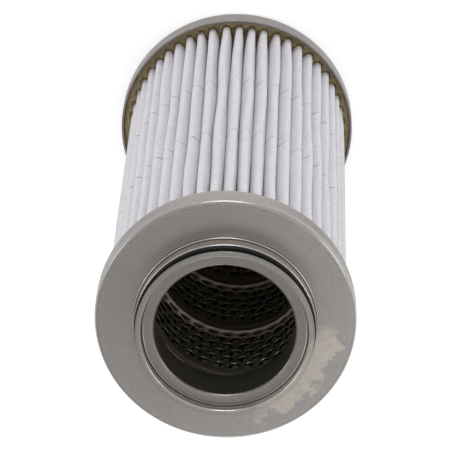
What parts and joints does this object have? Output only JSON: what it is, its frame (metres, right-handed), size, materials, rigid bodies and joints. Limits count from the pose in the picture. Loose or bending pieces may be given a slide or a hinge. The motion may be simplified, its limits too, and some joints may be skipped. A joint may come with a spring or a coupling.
{
  "type": "pleated filter element",
  "caption": "Round pleated cartridge with a perforated centre tube, steel end caps set in resin, and an open neck with a sealing ring.",
  "frame": {"origin": "centre of the closed end cap's outer face, which is the lowest point", "axes": "+Z along the element's axis, from the closed end to the open neck; X and Y are any two directions across it"},
  "size_m": [0.1, 0.1, 0.2221],
  "materials": {
    "plated_steel": "satin stamped sheet, lightly stained",
    "resin": "cast olive-brown resin, semi-gloss",
    "tube_steel": "plain rolled strip",
    "support_mesh": "fine woven support",
    "media": "matte fibre layer",
    "fleece": "matte white nonwoven",
    "sleeve_steel": "satin sheet",
    "seal_rubber": "matte black"
  },
  "bodies": {
    "root": {"closed_end_cap": "plated_steel", "closed_end_potting": "resin", "centre_tube": "tube_steel", "inner_support_mesh": "support_mesh", "filter_media": "media", "outer_fleece": "fleece", "open_end_potting": "resin", "open_end_cap": "plated_steel", "neck_sleeve": "sleeve_steel", "neck_seal": "seal_rubber"}
  },
  "joints": []
}
